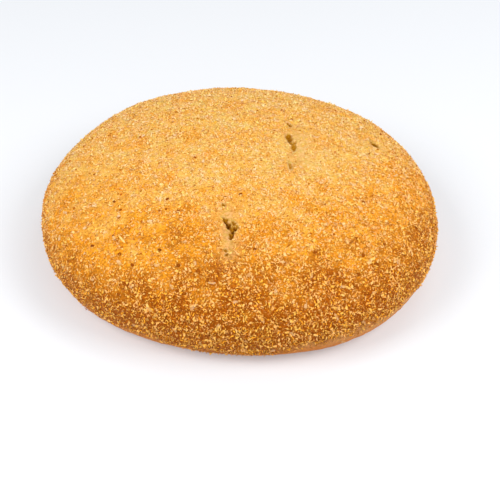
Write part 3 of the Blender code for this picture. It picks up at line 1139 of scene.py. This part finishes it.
def strew(name, shapes, finish, per_square_cm, lengths, lean, lift, seed, rest):
    """One kind of flake all over the crust."""
    values = {
        "Shapes": shapes,
        "Count per square cm": float(per_square_cm),
        "Shortest": lengths[0] * MM,
        "Longest": lengths[1] * MM,
        "Lean": math.radians(lean),
        "Lift": lift,
        "Seed": seed,
        "Material": finish,
    }
    return run_tree(name, STREW, crust, {**values, **rest})


strewn = [strew(*kind) for kind in KINDS]

# %% [markdown]
# ## The coarsest flakes
#
# The solid carries its own largest flakes, about 200. The same rule with the same seed sets them here
# again, so each lies where the solid has it, but thin, ragged and curled as real bran is, not a plain
# six-sided chip. The rule gives every flake an equal share of the crust: it winds down from the crown
# in a spiral, by the golden angle, which never lines two flakes up. Places by a tear are left out.

# %% The coarsest flakes
COARSE_COUNT = 210  # places on the spiral, before those by a tear are left out
COARSE_LENGTH = (2.4 * MM, 4.0 * MM)
COARSE_WIDTH = (1.4 * MM, 2.2 * MM)
COARSE_CORNERS = (0.75, 1.1)  # least and most reach of a corner
COARSE_SIDES = 6
COARSE_TILT = 10  # degrees
COARSE_LOWEST = 9 * MM
COARSE_SEED = 7
COARSE_THICKNESS = 0.26 * MM
COARSE_LIFT = 0.12 * MM
COARSE_CURL = (0.15 * MM, 0.75 * MM)
COARSE_FOLD = 0.2  # mm
RIM_STEPS = 3  # rim points from one corner to the next
RIM_FRAY = 0.09
RIM_RUFFLE, INNER_RUFFLE = 0.1, 0.04  # mm
INNER_RING = 0.6  # as a share of the rim's reach
TEAR_CLEARANCE = 1.5 * MM
STRAND_PLACE = (-61 * MM, -58.5 * MM)
STRAND_SIZE = (5.6 * MM, 1.2 * MM)
STRAND_TURN = -52  # degrees
GOLDEN_TURN = math.pi * (3 - math.sqrt(5))
ABOVE_LOAF = 0.2  # metres


def spiral_places(count, steps=400):
    """Latitudes and directions that give each of a count of flakes the same area."""
    falling = math.pi / 2 - np.arange(steps + 1) * (math.pi / 2 + FOOT_LATITUDE) / steps
    falling = falling[profile(falling)[1] >= COARSE_LOWEST]
    index = np.arange(count)
    return latitude_at((index + 0.5) / count, falling), index * GOLDEN_TURN


def near_tear(point):
    """Whether a point is so near to a tear that no flake lies there."""
    return any(math.dist(point[:2], (x, y)) < length / 2 + TEAR_CLEARANCE for x, y, length, *_ in TEARS)


def laid_on(surface, near, turn, tilt=0.0, lift=0.0):
    """A placement on the crust nearest to a point: its Z along the crust's normal."""
    spot, normal, _, _ = surface.find_nearest(near)
    side = Vector((1, 0, 0)) if abs(normal.x) < 0.8 else Vector((0, 1, 0))
    along = normal.cross(side).normalized()
    axes = Matrix((along.cross(normal), along, normal)).transposed().to_4x4()
    turned = Matrix.Rotation(turn, 4, "Z") @ Matrix.Rotation(tilt, 4, "X")
    return Matrix.Translation(spot + normal * lift) @ axes @ turned


def add_flake(mesh, place, corners, length, width, fray):
    """Adds one large flake: a ragged rim, and a curled face above and below it."""
    rim_count = len(corners) * RIM_STEPS
    bend = fray.uniform(*COARSE_CURL)
    fold = fray.uniform(-COARSE_FOLD, COARSE_FOLD) * MM

    def point_at(x, y, side=0, ruffle=0.0):
        curled = bend * (2 * x / length) ** 2 + fold * (2 * y / width)
        return mesh.verts.new(place @ Vector((x, y, curled + side * COARSE_THICKNESS / 2 + ruffle)))

    rim, above, below = [], [], []
    for step in range(rim_count):
        corner, part = divmod(step, RIM_STEPS)
        part /= RIM_STEPS
        reach = corners[corner] * (1 - part) + corners[(corner + 1) % len(corners)] * part
        reach += fray.uniform(-RIM_FRAY, RIM_FRAY)
        angle = math.tau * step / rim_count
        x, y = reach * length / 2 * math.cos(angle), reach * width / 2 * math.sin(angle)
        rim.append(point_at(x, y, 0, fray.uniform(-RIM_RUFFLE, RIM_RUFFLE) * MM))
        for ring, side in ((above, 1), (below, -1)):
            ruffle = fray.uniform(-INNER_RUFFLE, INNER_RUFFLE) * MM
            ring.append(point_at(INNER_RING * x, INNER_RING * y, side, ruffle))
    for ring, side in ((above, 1), (below, -1)):
        middle = point_at(0, 0, side)
        for step in range(rim_count):
            after = (step + 1) % rim_count
            outer = ((rim[step], rim[after], ring[after]), (rim[step], ring[after], ring[step]))
            for face in (*outer, (ring[step], ring[after], middle)):
                mesh.faces.new(face if side > 0 else face[::-1])


def finished_piece(name, mesh, tones, finish):
    """An object from a bmesh, with the tone and the baking, painted shade of the front included, that its
    finish reads.
    """
    data = mesh_from_bmesh(name, mesh)
    keep_on_points(data, "tone", tones)
    keep_on_points(data, "side", sidedness(array_of(data)))
    data.materials.append(finish)
    print(name, "triangles:", len(data.polygons))
    return object_from(name, data)


def surface_of(piece):
    """A search tree of an object's triangles."""
    faces = [tuple(face.vertices) for face in piece.data.polygons]
    return BVHTree.FromPolygons([Vector(point) for point in array_of(piece.data)], faces)


def spot_below(surface, x, y):
    """The place on the crust straight below a point over the loaf."""
    return surface.ray_cast(Vector((x, y, ABOVE_LOAF)), Vector((0, 0, -1)))[0]


def coarse_flakes(surface):
    """The solid's flakes as real bran."""
    mesh = bmesh.new()
    draw, fray = random.Random(COARSE_SEED), random.Random(COARSE_SEED + 1)
    tones = []
    for latitude, angle in zip(*spiral_places(COARSE_COUNT)):
        near = crust_points(np.array([latitude]), np.array([angle]))[0]
        if near_tear(near):
            continue
        length, width = draw.uniform(*COARSE_LENGTH), draw.uniform(*COARSE_WIDTH)
        corners = [draw.uniform(*COARSE_CORNERS) for _ in range(COARSE_SIDES)]
        turn, tilt = draw.uniform(0, math.tau), math.radians(draw.uniform(-COARSE_TILT, COARSE_TILT))
        place = laid_on(surface, Vector(near), turn, tilt, COARSE_LIFT)
        add_flake(mesh, place, corners, length, width, fray)
        tones += [fray.random()] * (len(mesh.verts) - len(tones))
    return finished_piece("bran_coarse", mesh, tones, COARSE_BRAN)


def pale_strand(surface):
    """The one long pale flake that lies apart from the others."""
    mesh = bmesh.new()
    spot = spot_below(surface, *STRAND_PLACE)
    place = laid_on(surface, spot, math.radians(STRAND_TURN), lift=2 * COARSE_LIFT)
    add_flake(mesh, place, [1.0] * COARSE_SIDES, *STRAND_SIZE, random.Random(COARSE_SEED))
    return finished_piece("bran_strand", mesh, [0.0] * len(mesh.verts), PALE_BRAN)


CRUST_SURFACE = surface_of(crust)
strewn.append(coarse_flakes(CRUST_SURFACE))
strewn.append(pale_strand(CRUST_SURFACE))

# %% [markdown]
# ## Dark specks
#
# A few small pits in the crust show as dark round specks, mostly to the left of the nearer tear and
# along the front. Their darkness is painted shade: each is a small dark sphere, pressed flat, made lumpy
# by noise and sunk halfway into the skin.

# %% Dark specks
SPECKS = (  # x, y and width in mm
    (1, -33, 1.8), (-41, -68, 2.0), (67, -33, 1.8), (-62, -67, 2.0), (-67, -31, 1.8), (-21, -82, 2.3),
    (71, -73, 2.3), (-32, -43, 1.6), (-77, -58, 1.9), (8, -71, 1.7), (-38, -34, 1.6), (-80, -4, 1.4),
    (-31, -78, 2.3), (64, -70, 1.9), (61, -81, 1.9), (53, -93, 1.7), (-28, -92, 1.7), (-16, -87, 1.6),
    (-62, -85, 1.7), (-55, -74, 1.7), (76, -60, 1.6), (39, -72, 1.7), (-63, -38, 1.4), (-66, -55, 1.4),
)
SPECK_HEIGHT = 0.7  # as a share of its width
SPECK_STRETCH = (1.0, 1.4)
SPECK_LUMPS = 0.25
SPECK_LUMP_SIZE = 0.4 * MM
SPECK_SEED = 21


def dark_specks(surface):
    """The dark specks, painted shade of small pits, as one piece."""
    mesh = bmesh.new()
    draw = random.Random(SPECK_SEED)
    tones = []
    for x, y, width in SPECKS:
        place = laid_on(surface, spot_below(surface, x * MM, y * MM), draw.uniform(0, math.tau))
        made = bmesh.ops.create_icosphere(mesh, subdivisions=2, radius=width * MM / 2)["verts"]
        stretch = Matrix.Diagonal((draw.uniform(*SPECK_STRETCH), 1.0, SPECK_HEIGHT, 1.0))
        for vertex in made:
            lump = 1 + SPECK_LUMPS * noise.noise(vertex.co / SPECK_LUMP_SIZE + Vector((x, y, 0)))
            vertex.co = place @ (stretch @ (vertex.co * lump))
        tones += [draw.random()] * len(made)
    return finished_piece("bran_specks", mesh, tones, PIT_SHADE)


strewn.append(dark_specks(CRUST_SURFACE))

# %% [markdown]
# ## Bodies and the end
#
# Every piece belongs to the loaf's one body. The new skin stands for the solid, which stays hidden
# behind it.

# %% Bodies and the end
for piece in [crust, *strewn]:
    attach(piece, "root")
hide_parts("loaf")
